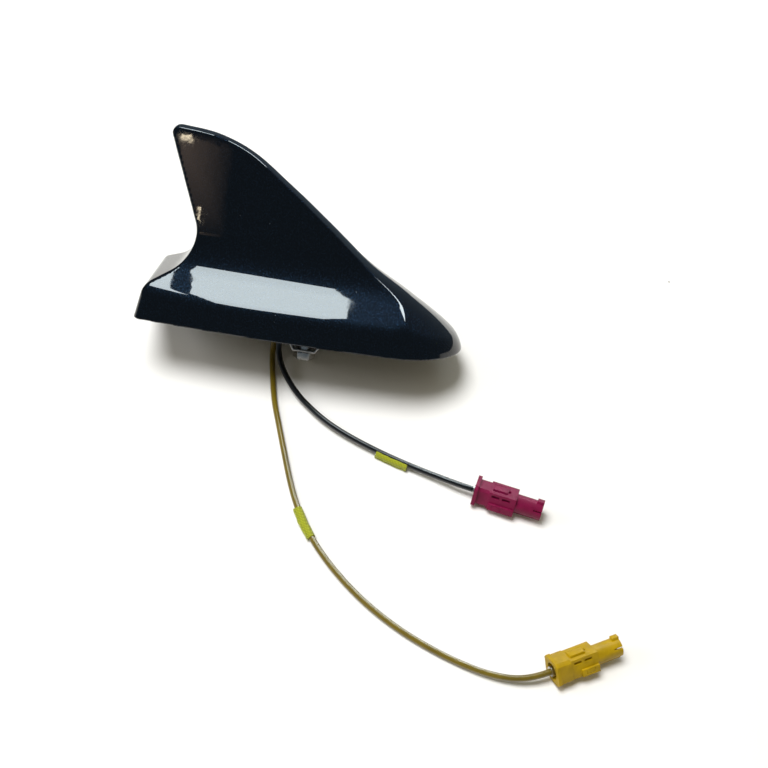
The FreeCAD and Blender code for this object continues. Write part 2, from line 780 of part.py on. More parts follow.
def cord_path(points, name):
    """Straight runs joined by tangent arcs, each arc as large as its two runs allow."""
    edges = []
    last = points[0]
    radii = []
    for before, corner, after in zip(points, points[1:], points[2:]):
        back = (before - corner).normalize()
        ahead = (after - corner).normalize()
        half_turn = (math.pi - back.getAngle(ahead)) / 2
        reach = CORD_ARC_SHARE * min((before - corner).Length, (after - corner).Length)
        radius = reach / math.tan(half_turn)
        radii.append(round(radius, 1))
        middle = corner + (back + ahead).normalize() * (radius / math.cos(half_turn) - radius)
        start = corner + back * reach
        end = corner + ahead * reach
        edges.append(Part.LineSegment(last, start).toShape())
        edges.append(Part.Arc(start, middle, end).toShape())
        last = end
    edges.append(Part.LineSegment(last, points[-1]).toShape())
    print(name, "radii", radii, "length", round(sum(e.Length for e in edges), 1))
    return Part.Wire(edges)


def tube(path, radius):
    first = path.Edges[0]
    start = first.FirstParameter
    ring = Part.makeCircle(radius, first.valueAt(start), first.tangentAt(start))
    return path.makePipeShell([Part.Wire(ring)], True, True)


def free_lead(name, route):
    """A lead's free tube; its volume is compared with its section times its length."""
    points = route_points(route, name)
    path = cord_path(points, name)
    solid = tube(path, size("cable_diameter / 2"))
    ideal = math.pi * size("cable_diameter / 2") ** 2 * path.Length
    print(name, "tube volume over ideal", round(solid.Volume / ideal, 4))
    keep(freeform(name.title() + "Cable", solid), name + "_cable")
    return points, path, solid


def table_normal():
    lean = math.radians(TABLE_LEAN)
    return Vector(0, -math.sin(lean), math.cos(lean))


def frame_along(way):
    """Directions along a way, sideways on the table and up from it."""
    along = Vector(way).normalize()
    side = table_normal().cross(along).normalize()
    return along, side, along.cross(side)


def placed(origin, way, roll):
    """The placement of a piece whose own X goes along a way, rolled about it."""
    along, side, up = frame_along(way)
    turn = Rotation(Matrix(along.x, side.x, up.x, 0, along.y, side.y, up.y, 0, along.z, side.z, up.z, 0,
                           0, 0, 0, 1))
    return Placement(origin, turn.multiply(Rotation(Vector(1, 0, 0), roll)))


def tape_marker(name, lead, number, flag_side):
    """A cloth tape wrapped round a lead at one of its points, its ends stuck together as a small flag."""
    points, path, solid = lead
    place = placed(points[number], points[number + 1] - points[number - 1], 0)
    length = size("tape_length")
    radius = size("cable_diameter / 2 + tape_thickness")
    reach = size(name + "_flag_width") + radius
    thick = size("flag_thickness")
    block = Part.makeBox(length, 4 * radius, 4 * radius, Vector(-length / 2, -2 * radius, -2 * radius))
    flag = Part.makeBox(length, reach, thick, Vector(-length / 2, min(0, flag_side * reach), -thick / 2))
    block.Placement = place
    flag.Placement = place
    shape = tube(path, radius).common(block).fuse(flag).cut(solid)
    keep(freeform(name.title() + "Tape", max(shape.Solids, key=lambda piece: piece.Volume)), name + "_tape")


# Plugs

FRONT = "plug_length"
NECK_FOOT = "flange_thickness"
SHELL_FOOT = "(flange_thickness + neck_length)"
SHELL_END = "(flange_thickness + neck_length + shell_length)"
CONTACT_FOOT = "(ferrule_length - ferrule_proud)"
RAIL_FACE = "(shell_width / 2 + rail_proud)"


def octagon(name, length, side, x):
    """A square block along X with its four long corners cut off."""
    across = "%s * neck_corner_share" % side
    square = box(name + "Square", length, side, side, x, "0", "-%s / 2" % side)
    turned = doc.addObject("Part::Box", name + "Turned")
    bind(turned, Length=length, Width=across, Height=across)
    turned.Placement.Rotation = Rotation(Vector(1, 0, 0), 45)
    at(turned, x, "0", "-%s / sqrt(2)" % across)
    both = doc.addObject("Part::MultiCommon", name)
    both.Shapes = [square, turned]
    return both


def rail_foot(name):
    """Where the side rails and the lock between them start."""
    return "(%s + %s_rail_gap)" % (SHELL_FOOT, name.lower())


def plug_housing(name):
    """The keyed housing along X: flange, neck, shell with tongue, windows and rails, round collar."""
    rail = rail_foot(name)
    tongue = SHELL_FOOT + " + window_gap"
    shell_top = "shell_height / 2"
    collar = FRONT + " - " + SHELL_END
    solids = [
        octagon(name + "Flange", "flange_thickness", "flange_width", "0"),
        octagon(name + "Neck", "neck_length", name.lower() + "_neck_side", NECK_FOOT),
        box(name + "Shell", "shell_length", "shell_width", "shell_height", SHELL_FOOT, "0",
            "-shell_height / 2"),
        box(name + "Rails", SHELL_END + " - " + rail, "2 * " + RAIL_FACE, "shell_height / 2 - rail_top",
            rail, "0", "-shell_height / 2"),
        box(name + "Tongue", "tongue_length", "tongue_width", "tongue_proud + shell_height / 4",
            tongue, "0", "shell_height / 4"),
        rod(name + "Collar", "collar_diameter", collar, SHELL_END),
        box(name + "KeyTab", "key_tab_length", "key_tab_width", "key_tab_height + collar_diameter / 4",
            FRONT + " - key_tab_length", "0", "collar_diameter / 4"),
        box(name + "Rib", collar, "guide_rib_width", "guide_rib_height + collar_diameter / 4",
            SHELL_END, "0", "-collar_diameter / 2 - guide_rib_height"),
        box(name + "Latch", "latch_length", "latch_width", "latch_height + shell_height / 4",
            SHELL_END + " - latch_length", "0", "-shell_height / 2 - latch_height"),
    ]
    tools = [
        rod(name + "RearHole", "rear_hole_diameter", "rear_hole_depth", "0"),
        rod(name + "Bore", "contact_diameter", FRONT, "0"),
        rod(name + "CollarBore", "collar_bore", "collar_depth", FRONT + " - collar_depth"),
        box(name + "Slit", "collar_slit_length", "collar_diameter", "collar_slit",
            FRONT + " - collar_slit_length", "-collar_diameter / 2", "collar_diameter / 8"),
        box(name + "LockSlot", "lock_length", "lock_depth", "lock_height", rail + " + lock_place",
            "lock_depth / 2 - " + RAIL_FACE, "-shell_height / 2 + lock_clearance + lock_height / 2"),
        box(name + "TongueNotch", "tongue_notch", "tongue_width / 2", "window_depth + tongue_proud",
            tongue + " + tongue_length", "0", shell_top + " - window_depth"),
    ]
    for index, side in enumerate(("", "-")):
        tools.append(box(name + "TongueSlot%d" % index, "tongue_length", "tongue_slot", "window_depth",
                         tongue, side + "(tongue_width + tongue_slot) / 2",
                         shell_top + " - window_depth"))
        for number in range(2):
            foot = "%s + window_place + %d * (window_length + window_gap)" % (SHELL_FOOT, number)
            tools.append(box("%sWindow%d%d" % (name, index, number), "window_length", "2 * window_depth",
                             "window_height", foot, side + "shell_width / 2",
                             shell_top + " - window_gap - window_height"))
    return cut(name + "Housing", fuse(name + "Blank", *solids), *tools)


def plug_lock(name):
    """The secondary lock, a small block that fills its slot in one rail."""
    return box(name + "Lock", "lock_length - 2 * lock_clearance", "lock_depth", "lock_height",
               rail_foot(name) + " + lock_place + lock_clearance", "lock_depth / 2 - " + RAIL_FACE,
               "-shell_height / 2 + lock_clearance + lock_height / 2")


def plug_ferrule(name):
    return rod(name + "Ferrule", "ferrule_diameter", "ferrule_length", "-ferrule_proud")


def plug_contact(name):
    """The outer contact, a sleeve on the insulator."""
    length = FRONT + " - contact_setback - " + CONTACT_FOOT
    blank = rod(name + "Sleeve", "contact_diameter", length, CONTACT_FOOT)
    bore = rod(name + "SleeveBore", "contact_diameter - 2 * contact_wall", length, CONTACT_FOOT)
    return cut(name + "Contact", blank, bore)


def plug_insulator(name):
    length = FRONT + " - insulator_setback - " + CONTACT_FOOT
    blank = rod(name + "Core", "contact_diameter - 2 * contact_wall", length, CONTACT_FOOT)
    hole = rod(name + "PinHole", "pin_diameter", "pin_length", FRONT + " - pin_setback - pin_length")
    return cut(name + "Insulator", blank, hole)


def plug_pin(name):
    return rod(name + "Pin", "pin_diameter", "pin_length", FRONT + " - pin_setback - pin_length")


def plug(name, lead, roll):
    """All pieces of one plug, placed so that its ferrule meets the lead's end."""
    before, end = lead[0][-2:]
    way = (end - before).normalize()
    seat = placed(end + way * size("ferrule_proud"), way, roll)
    word = name.title()
    makers = {"housing": plug_housing, "lock": plug_lock, "ferrule": plug_ferrule, "contact": plug_contact,
              "insulator": plug_insulator, "pin": plug_pin}
    for piece, make in makers.items():
        item = make(word)
        carrier = group(word + piece.title() + "Placed", item)
        carrier.Placement = seat
        keep(carrier, "%s_%s" % (name, piece))


def write_parts():
    """Checks every object, then writes each sub-part to its own file."""
    doc.recompute()
    for item in doc.Objects:
        bad = [state for state in item.State if state in ("Invalid", "Error")]
        if bad:
            raise RuntimeError("%s is %s" % (item.Name, bad))
    for item in kept:
        shape = item.Shape
        if shape.isNull() or not shape.isValid() or not shape.Solids:
            raise RuntimeError("%s has no valid solid" % item.Label)
    os.makedirs("parts", exist_ok=True)
    for item in kept:
        item.Shape.exportStep(os.path.join("parts", item.Label + ".step"))
        print("%-20s %d solids %9.1f mm3" % (item.Label, len(item.Shape.Solids), item.Shape.Volume))


fin_cover()
roof_gasket()
base_chassis()
cover_screws()
mounting_bolt()
retaining_claw()
cable_grommet()
main_board()
board_screws()
shield_can()
patch_element("satellite")
patch_element("gps")
phone_blade()
lead_tails()
olive_lead = free_lead("olive", OLIVE_TO_TAPE + OLIVE_TO_PLUG)
black_lead = free_lead("black", BLACK_TO_TAPE + BLACK_TO_PLUG)
tape_marker("olive", olive_lead, len(OLIVE_TO_TAPE), 1)
tape_marker("black", black_lead, len(BLACK_TO_TAPE), -1)
plug("curry", olive_lead, CURRY_ROLL)
plug("bordeaux", black_lead, BORDEAUX_ROLL)
write_parts()
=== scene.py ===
import json
import math

import bmesh
import bpy
import numpy as np
from mathutils import Matrix, Vector


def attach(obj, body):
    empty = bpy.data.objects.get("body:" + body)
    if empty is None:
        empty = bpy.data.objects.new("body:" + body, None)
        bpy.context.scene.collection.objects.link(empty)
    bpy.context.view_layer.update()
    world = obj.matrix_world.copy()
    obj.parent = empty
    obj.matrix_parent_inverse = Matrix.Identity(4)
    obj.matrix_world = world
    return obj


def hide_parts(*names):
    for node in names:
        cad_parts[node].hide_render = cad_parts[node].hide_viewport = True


# A fin-shaped car roof antenna with two coaxial leads, put down on a white table: it leans on its bolt
# and on the far edge of its base, so in the antenna's own upright frame the table slopes.
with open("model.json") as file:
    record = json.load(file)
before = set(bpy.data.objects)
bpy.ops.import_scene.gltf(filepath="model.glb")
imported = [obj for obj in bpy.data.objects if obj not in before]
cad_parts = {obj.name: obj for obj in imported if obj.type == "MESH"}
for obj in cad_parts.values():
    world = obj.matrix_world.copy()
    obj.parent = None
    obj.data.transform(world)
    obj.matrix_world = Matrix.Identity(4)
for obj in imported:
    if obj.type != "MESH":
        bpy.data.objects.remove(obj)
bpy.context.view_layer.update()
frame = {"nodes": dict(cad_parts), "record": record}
nodes = frame["nodes"]
BODY = "root"
MM = 0.001

# The fin's outer form, in millimetres, as the part's source has it
REAR_REACH = 80.5
NOSE_REACH = 77.0
NOSE_LENGTH = 37.0
REAR_HALF, MIDDLE_HALF, NOSE_HALF = 30.0, 33.6, 32.6
SKIRT_LEAN = math.radians(10.0)
SKIRT_TOP = 22.0
RIM_HEIGHT = 0.6
SHOULDER_HALF, SHOULDER_HEIGHT = 29.5, 14.0
FLANK_SLOPE = math.radians(33.5)
FLANK_BLEND = 9.5
BLADE_TOP_HALF = 4.0
BLADE_LEAN = math.radians(3.6)
CROWN_RADIUS = 45.0
FIN_HEIGHT = 88.1
TIP_SETBACK = 7.5
TIP_RADIUS = 4.5
TRAILING_LEAN = math.radians(20.6)
WAIST_HEIGHT = 31.6
WAIST_BLEND = 16.2
TAIL_SLOPE = math.radians(29.0)
COVER_WALL = 2.2

# Stations of the spine: how far behind the nose, and how high
SPINE = {
    "front": (-7.0, -1.8),
    "nose": (7.0, 9.5),
    "bonnet": (29.0, 23.0),
    "brow": (51.0, 35.3),
    "lower": (73.0, 52.1),
    "upper": (94.0, 67.7),
    "crest": (114.6, 81.3),
    "crown": (129.0, 86.3),
    "tip": (145.0, 88.0),
    "behind": (161.0, 88.3),
}

# The cover's rounded edges and its fine mesh, in millimetres apart from the mesh size
CREASE_ROUND = 0.9
SHOULDER_ROUND = 3.0
REAR_ROUND = 2.6
REMESH_SIZE = 0.9 * MM
PROJECT_STEPS = 5
GRADIENT_STEP = 0.02
SKIN_DEPTH = COVER_WALL / 2
RIM_SKIN_DEPTH = COVER_WALL / 5
RIM_BAND = COVER_WALL / 2
RIM_EDGE = COVER_WALL / 4

# Broken edges of the small pieces
BOLT_EDGE = 0.3 * MM
CLAW_EDGE = 0.15 * MM
HOUSING_EDGE = 0.25 * MM
LOCK_EDGE = 0.2 * MM
EDGE_SEGMENTS = 2
ROUND_PROFILE = 0.5
WELD = 0.001 * MM
FLAT_ANGLE = math.radians(0.6)
SHARP_ANGLE = math.radians(38)

# Routes of the leads, in millimetres, as the part's source has them
OLIVE_ROUTE = [
    (-15.5, 1.8, -5.0), (-15.5, 1.8, -11.5), (-15.4, -1.0, -18.0), (-13.6, -10.0, -23.8),
    (-10.4, -23.6, -32.3), (-5.8, -35.8, -39.6), (-1.4, -47.7, -46.7), (3.6, -61.1, -54.6),
    (8.2, -71.4, -60.8), (14.2, -81.6, -66.7), (23.0, -92.4, -73.1), (34.6, -102.9, -79.4),
    (47.2, -111.9, -84.8), (61.7, -119.8, -89.5), (75.6, -125.4, -92.8), (88.6, -129.8, -95.0),
    (100.6, -133.0, -96.1), (111.6, -134.6, -95.6), (120.9, -133.6, -93.6), (126.6, -131.1, -91.8),
]
BLACK_ROUTE = [
    (-13.0, -1.8, -5.0), (-13.0, -1.8, -11.0), (-11.6, -5.0, -17.4), (-7.2, -12.4, -23.0),
    (0.2, -20.8, -28.7), (8.2, -27.2, -32.6), (16.4, -32.7, -35.9), (26.2, -37.5, -38.7),
    (37.4, -41.7, -41.3), (50.6, -45.9, -43.9), (64.6, -50.1, -45.9), (75.4, -53.6, -46.9),
    (83.0, -56.4, -47.4), (88.9, -57.6, -47.9),
]
CABLE_DIAMETER = 2.8 * MM
LEAD_ORDER = 3
LEAD_STEPS = 12
LEAD_ROUNDNESS = 8

# Tapes: the stretch of the lead as shares of its length, and how the stuck ends and the wrap hang
OLIVE_TAPE = {"Start": 0.416, "End": 0.482, "Flag Width": 2.6 * MM, "Flag Angle": 0.0, "Sag": 0.0}
BLACK_TAPE = {
    "Start": 0.637,
    "End": 0.756,
    "Flag Width": 3.4 * MM,
    "Flag Angle": math.radians(75),
    "Sag": 1.1 * MM,
}
TAPE_THICKNESS = 0.45 * MM
TAPE_CRUMPLE = 0.8 * MM
CRUMPLE_SCALE = 260.0
STRETCH_POINTS = 48
WRAP_POINTS = 28
FLAG_POINTS = 32

# Finishes: colour and roughness, and for metals the range of their roughness
PLASTICS = {
    "black_rubber": ((0.016, 0.016, 0.016), 0.8),
    "patch_ceramic": ((0.6, 0.52, 0.4), 0.5),
    "curry_plastic": ((0.42, 0.27, 0.003), 0.5),
    "bordeaux_plastic": ((0.18, 0.006, 0.046), 0.55),
    "white_insulator": ((0.8, 0.79, 0.75), 0.5),
}
JACKETS = {
    "olive_jacket": ((0.14, 0.1, 0.008), 0.3),
    "black_jacket": ((0.005, 0.005, 0.006), 0.3),
}
METALS = {
    "die_cast": ((0.5, 0.5, 0.51), 0.45, 0.65),
    "plated_steel": ((0.62, 0.6, 0.56), 0.22, 0.42),
    "spring_steel": ((0.5, 0.48, 0.45), 0.25, 0.5),
    "tinned_sheet": ((0.68, 0.68, 0.67), 0.25, 0.45),
    "silver_film": ((0.8, 0.79, 0.76), 0.3, 0.45),
    "contact_brass": ((0.78, 0.58, 0.25), 0.2, 0.35),
}
NAVY_SHADE = (0.002, 0.0038, 0.007, 1)
NAVY_FLAKE = (0.008, 0.018, 0.034, 1)
NAVY_EDGE = (0.02, 0.03, 0.05, 1)
PALE_DUST = (0.16, 0.17, 0.18, 1)
# The tape's darker colour is painted shade for the hollows of its weave
TAPE_HOLLOW_SHADE = (0.24, 0.26, 0.008, 1)
TAPE_THREAD = (0.44, 0.48, 0.02, 1)
MASK_DARK = (0.02, 0.13, 0.05, 1)
MASK_GREEN = (0.025, 0.16, 0.06, 1)
MASK_TRACK = (0.08, 0.3, 0.12, 1)
TABLE_WHITE = (0.86, 0.86, 0.85, 1)
TABLE_SPECK = (0.3, 0.28, 0.26, 1)

# The table in the antenna's frame, in metres
TABLE_LEAN = math.radians(30.8)
TABLE_SPOT = Vector((0, 5, -17)) * MM
TABLE_UP = Vector((0, -math.sin(TABLE_LEAN), math.cos(TABLE_LEAN)))
TABLE_AWAY = Vector((0, math.cos(TABLE_LEAN), math.sin(TABLE_LEAN)))
TABLE_RIGHT = Vector((1, 0, 0))
TABLE_HALF = 3.0
MIRRORED_DEPTH = 0.1
ONE_FACE = [(0, 1, 2, 3)]

# Window panes above the antenna, mirrored in its flank and along its crease: X and Y in millimetres
PANE_HEIGHT = 1000
MAIN_PANE = [(-190, 120), (16, 120), (-10, -404), (-202, -500)]
SIDE_PANE = [(-300, 120), (-216, 120), (-224, -260), (-300, -260)]
CREASE_PANE = [(150, 230), (640, 230), (640, 760), (150, 760)]
SKY = (0.86, 0.97, 1.0, 1)
SKY_STRENGTH = 13.5
CREASE_STRENGTH = 16.0
EVEN_SHARES = (1.0, 1.0, 1.0, 1.0)

# Warm panes behind the camera, mirrored near the blade's trailing edge: X and Z in millimetres
WARM_DISTANCE = -1483
WARM_WALL = [(-312, -22), (-220, -30), (-220, -178), (-288, -178)]
UPPER_GLINT = [(-309, -22), (-292, -22), (-293, -29), (-307, -29)]
LOWER_GLINT = [(-268, -138), (-264, -138), (-263, -162), (-267, -162)]
WARM = (1.0, 0.72, 0.55, 1)
WARM_STRENGTH = 1.3
WARM_SHARES = (1.0, 0.0, 0.0, 0.1)
GLINT = (1.0, 0.85, 0.6, 1)
GLINT_STRENGTH = 24.0

# Lamps over the table, in metres and watts, and the room's own light
KEY_LAMP = {"right": -1.05, "away": 0.06, "up": 3.2, "size": 1.75, "power": 124.0}
FILL_LAMP = {"right": -1.2, "away": -0.2, "up": 0.8, "size": 0.6, "power": 5.0}
ROOM_LIGHT = (0.24, 0.216, 0.16, 1)
ROOM_MIRRORED = (0.09, 0.12, 0.15, 1)
PLAIN_WHITE = (1, 1, 1, 1)

# The photograph's camera
CAMERA_EYE = Vector((22.7, -560.9, 195.9)) * MM
CAMERA_AZIMUTH = math.radians(-1.968)
CAMERA_ELEVATION = math.radians(21.487)
CAMERA_ROLL = math.radians(-9.226)
CAMERA_ANGLE = math.radians(35.49)
CAMERA_CLIP = 0.01


# Node helpers

COLOUR_MIX = {"data_type": "RGBA"}


def add(tree, kind, settings=None, values=None):
    """A node with its settings and its unlinked inputs."""
    node = tree.nodes.new(kind)
    for name, value in (settings or {}).items():
        setattr(node, name, value)
    for name, value in (values or {}).items():
        node.inputs[name].default_value = value
    return node


def link(tree, source, output, target, socket):
    """A link from one node's output to another's input."""
    tree.links.new(source.outputs[output], target.inputs[socket])


def new_material(name, values):
    """A material with one principled shader; returns it with its tree and shader."""
    material = bpy.data.materials.new(name)
    material.use_nodes = True
    tree = material.node_tree
    tree.nodes.clear()
    shader = add(tree, "ShaderNodeBsdfPrincipled", values=values)
    output = add(tree, "ShaderNodeOutputMaterial")
    link(tree, shader, "BSDF", output, "Surface")
    return material, tree, shader


def shader_group(name, inputs, outputs):
    """An empty shader group with float inputs and typed outputs."""
    tree = bpy.data.node_groups.new(name, "ShaderNodeTree")
    for label, value in inputs.items():
        socket = tree.interface.new_socket(name=label, in_out="INPUT", socket_type="NodeSocketFloat")
        socket.default_value = value
    for label, kind in outputs.items():
        tree.interface.new_socket(name=label, in_out="OUTPUT", socket_type=kind)
    return tree, tree.nodes.new("NodeGroupInput"), tree.nodes.new("NodeGroupOutput")


def grain_group():
    """A fine even grain as a bump."""
    sizes = {"Scale": 3000.0, "Strength": 0.1, "Depth": 0.0001}
    tree, inputs, outputs = shader_group("fine_grain", sizes, {"Normal": "NodeSocketVector"})
    place = add(tree, "ShaderNodeTexCoord")
    noise = add(tree, "ShaderNodeTexNoise", values={"Detail": 3.0})
    bump = add(tree, "ShaderNodeBump")
    link(tree, place, "Object", noise, "Vector")
    link(tree, inputs, "Scale", noise, "Scale")
    link(tree, noise, "Fac", bump, "Height")
    link(tree, inputs, "Strength", bump, "Strength")
    link(tree, inputs, "Depth", bump, "Distance")
    link(tree, bump, "Normal", outputs, "Normal")
    return tree


def speck_group():
    """Scattered specks: a few of the cells of a pattern hold a round spot."""
    sizes = {"Scale": 300.0, "Radius": 0.2, "Share": 0.1}
    tree, inputs, outputs = shader_group("specks", sizes, {"Mask": "NodeSocketFloat"})
    place = add(tree, "ShaderNodeTexCoord")
    cells = add(tree, "ShaderNodeTexVoronoi")
    split = add(tree, "ShaderNodeSeparateColor")
    near = add(tree, "ShaderNodeMath", {"operation": "LESS_THAN"})
    chosen = add(tree, "ShaderNodeMath", {"operation": "LESS_THAN"})
    both = add(tree, "ShaderNodeMath", {"operation": "MULTIPLY"})
    link(tree, place, "Object", cells, "Vector")
    link(tree, inputs, "Scale", cells, "Scale")
    link(tree, cells, "Color", split, "Color")
    link(tree, cells, "Distance", near, 0)
    link(tree, inputs, "Radius", near, 1)
    link(tree, split, "Red", chosen, 0)
    link(tree, inputs, "Share", chosen, 1)
    link(tree, near, 0, both, 0)
    link(tree, chosen, 0, both, 1)
    link(tree, both, 0, outputs, "Mask")
    return tree


def uneven_group():
    """Slow unevenness of a colour or a gloss, as a value between two limits."""
    sizes = {"Scale": 60.0, "Low": 0.85, "High": 1.1}
    tree, inputs, outputs = shader_group("uneven", sizes, {"Factor": "NodeSocketFloat"})
    place = add(tree, "ShaderNodeTexCoord")
    noise = add(tree, "ShaderNodeTexNoise", values={"Detail": 4.0})
    spread = add(tree, "ShaderNodeMapRange", values={"From Min": 0.3, "From Max": 0.7})
    link(tree, place, "Object", noise, "Vector")
    link(tree, inputs, "Scale", noise, "Scale")
    link(tree, noise, "Fac", spread, "Value")
    link(tree, inputs, "Low", spread, "To Min")
    link(tree, inputs, "High", spread, "To Max")
    link(tree, spread, "Result", outputs, "Factor")
    return tree


GRAIN = grain_group()
SPECKS = speck_group()
UNEVEN = uneven_group()


def use_group(tree, group, values):
    """A group placed in a material with its own values."""
    return add(tree, "ShaderNodeGroup", {"node_tree": group}, values)


def vary_colour(tree, shader, colour, values):
    """Base colour times a slow unevenness."""
    uneven = use_group(tree, UNEVEN, values)
    scale = add(tree, "ShaderNodeVectorMath", {"operation": "SCALE"}, {0: colour})
    link(tree, uneven, "Factor", scale, "Scale")
    link(tree, scale, "Vector", shader, "Base Color")


def add_grain(tree, shader, values):
    """A fine grain on the whole surface."""
    grain = use_group(tree, GRAIN, values)
    link(tree, grain, "Normal", shader, "Normal")


# Materials


def dusty_flake(tree, place, shader):
    """Blue flake in near-black navy, with specks of pale dust on it."""
    flakes = add(tree, "ShaderNodeTexVoronoi", values={"Scale": 3200.0})
    split = add(tree, "ShaderNodeSeparateColor")
    shine = add(tree, "ShaderNodeMath", {"operation": "POWER"}, {1: 5.0})
    flake = add(tree, "ShaderNodeMix", COLOUR_MIX, {"A": NAVY_SHADE, "B": NAVY_FLAKE})
    specks = use_group(tree, SPECKS, {"Scale": 420.0, "Radius": 0.09, "Share": 0.03})
    dusty = add(tree, "ShaderNodeMix", COLOUR_MIX, {"B": PALE_DUST})
    link(tree, place, "Object", flakes, "Vector")
    link(tree, flakes, "Color", split, "Color")
    link(tree, split, "Red", shine, 0)
    link(tree, shine, 0, flake, "Factor")
    link(tree, specks, "Mask", dusty, "Factor")
    link(tree, flake, "Result", dusty, "A")
    link(tree, dusty, "Result", shader, "Base Color")


def wiped_coat(tree, place, shader):
    """A clear coat with hazy patches and a faint ripple."""
    haze = add(tree, "ShaderNodeTexNoise", values={"Scale": 90.0, "Detail": 5.0, "Roughness": 0.7})
    gloss = add(tree, "ShaderNodeMapRange", values={
        "From Min": 0.4, "From Max": 0.8, "To Min": 0.012, "To Max": 0.06})
    ripple = add(tree, "ShaderNodeTexNoise", values={"Scale": 260.0, "Detail": 1.0})
    bump = add(tree, "ShaderNodeBump", values={"Strength": 0.05, "Distance": 0.00012})
    link(tree, place, "Object", haze, "Vector")
    link(tree, haze, "Fac", gloss, "Value")
    link(tree, gloss, "Result", shader, "Coat Roughness")
    link(tree, place, "Object", ripple, "Vector")
    link(tree, ripple, "Fac", bump, "Height")
    link(tree, bump, "Normal", shader, "Coat Normal")


def navy_paint():
    """Near-black navy paint: blue flake under a clear coat, with dust and fine wipe marks."""
    material, tree, shader = new_material("navy_paint", {
        "Metallic": 0.9, "Roughness": 0.42, "Specular Tint": NAVY_EDGE,
        "Coat Weight": 1.0, "Coat IOR": 1.5,
    })
    place = add(tree, "ShaderNodeTexCoord")
    dusty_flake(tree, place, shader)
    wiped_coat(tree, place, shader)
    add_grain(tree, shader, {"Scale": 2600.0, "Strength": 0.25, "Depth": 0.0001})
    return material


def moulded_plastic(name, colour, roughness):
    """Plain moulded plastic with a fine grain and slightly uneven colour."""
    material, tree, shader = new_material(name, {"Roughness": roughness, "Specular IOR Level": 0.2})
    vary_colour(tree, shader, colour, {"Scale": 220.0, "Low": 0.82, "High": 1.12})
    add_grain(tree, shader, {"Scale": 3500.0, "Strength": 0.12, "Depth": 0.0001})
    return material


def cable_jacket(name, colour, roughness):
    """Extruded jacket: smooth and shiny, a little uneven along its length."""
    material, tree, shader = new_material(name, {
        "Roughness": roughness, "Coat Weight": 0.35, "Coat Roughness": 0.15})
    vary_colour(tree, shader, colour, {"Scale": 120.0, "Low": 0.8, "High": 1.15})
    add_grain(tree, shader, {"Scale": 900.0, "Strength": 0.06, "Depth": 0.0002})
    return material


def cloth_tape():
    """Woven fabric tape: two crossed thread patterns in bump, and in colour as painted shade where the
    weave is low.
    """
    material, tree, shader = new_material("cloth_tape", {"Roughness": 0.85, "Sheen Weight": 0.3})
    threads = {"Scale": 420.0, "Distortion": 1.5}
    place = add(tree, "ShaderNodeTexCoord")
    warp = add(tree, "ShaderNodeTexWave", {"bands_direction": "X"}, threads)
    weft = add(tree, "ShaderNodeTexWave", {"bands_direction": "Z"}, threads)
    weave = add(tree, "ShaderNodeMath", {"operation": "MULTIPLY"})
    # Painted shade: the colour darkens where the weave's bump is low
    colour = add(tree, "ShaderNodeMix", COLOUR_MIX, {"A": TAPE_HOLLOW_SHADE, "B": TAPE_THREAD})
    bump = add(tree, "ShaderNodeBump", values={"Strength": 0.5, "Distance": 0.0002})
    link(tree, place, "Object", warp, "Vector")
    link(tree, place, "Object", weft, "Vector")
    link(tree, warp, "Fac", weave, 0)
    link(tree, weft, "Fac", weave, 1)
    link(tree, weave, 0, colour, "Factor")
    link(tree, weave, 0, bump, "Height")
    link(tree, colour, "Result", shader, "Base Color")
    link(tree, bump, "Normal", shader, "Normal")
    return material


def worn_metal(name, colour, low, high):
    """Metal whose gloss changes in patches, with a fine grain."""
    material, tree, shader = new_material(name, {"Metallic": 1.0})
    vary_colour(tree, shader, colour, {"Scale": 180.0, "Low": 0.75, "High": 1.1})
    gloss = use_group(tree, UNEVEN, {"Scale": 300.0, "Low": low, "High": high})
    link(tree, gloss, "Factor", shader, "Roughness")
    add_grain(tree, shader, {"Scale": 2200.0, "Strength": 0.15, "Depth": 0.0001})
    return material


def board_laminate():
    """Solder mask with the faint paler lines of the copper below."""
    material, tree, shader = new_material("board_laminate", {"Roughness": 0.35})
    place = add(tree, "ShaderNodeTexCoord")
    tracks = add(tree, "ShaderNodeTexBrick", values={
        "Scale": 160.0, "Mortar Size": 0.03,
        "Color1": MASK_DARK, "Color2": MASK_GREEN, "Mortar": MASK_TRACK,
    })
    link(tree, place, "Object", tracks, "Vector")
    link(tree, tracks, "Color", shader, "Base Color")
    add_grain(tree, shader, {"Scale": 1500.0, "Strength": 0.1, "Depth": 0.0001})
    return material


def make_materials():
    """One finish for each of the record's slots."""
    finishes = {
        "navy_paint": navy_paint(),
        "cloth_tape": cloth_tape(),
        "board_laminate": board_laminate(),
    }
    for name, finish in PLASTICS.items():
        finishes[name] = moulded_plastic(name, *finish)
    for name, finish in JACKETS.items():
        finishes[name] = cable_jacket(name, *finish)
    for name, finish in METALS.items():
        finishes[name] = worn_metal(name, *finish)
    return finishes


MATERIALS = make_materials()
SLOT_OF = {row["node"]: row["material_slot"] for row in frame["record"]["subparts"]}


def dress_nodes():
    """Gives every CAD node the finish of its slot."""
    for name, item in nodes.items():
        item.data.materials.clear()
        item.data.materials.append(MATERIALS[SLOT_OF[name]])


# Pieces and meshes


def scratch_object(name, data):
    """An object of some data, linked into the scene."""
    item = bpy.data.objects.new(name, data)
    bpy.context.scene.collection.objects.link(item)
    return item


def add_piece(node, mesh):
    """A finished piece at the origin that rides on the body in place of its CAD node."""
    slot = SLOT_OF[node]
    item = scratch_object("finished_" + node, mesh)
    mesh.materials.clear()
    mesh.materials.append(MATERIALS[slot])
    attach(item, BODY)
    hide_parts(node)
    return item


def baked(item):
    """The evaluated object as a plain mesh; the object itself is removed."""
    bpy.context.view_layer.update()
    evaluated = item.evaluated_get(bpy.context.evaluated_depsgraph_get())
    mesh = bpy.data.meshes.new_from_object(evaluated)
    bpy.data.objects.remove(item)
    return mesh


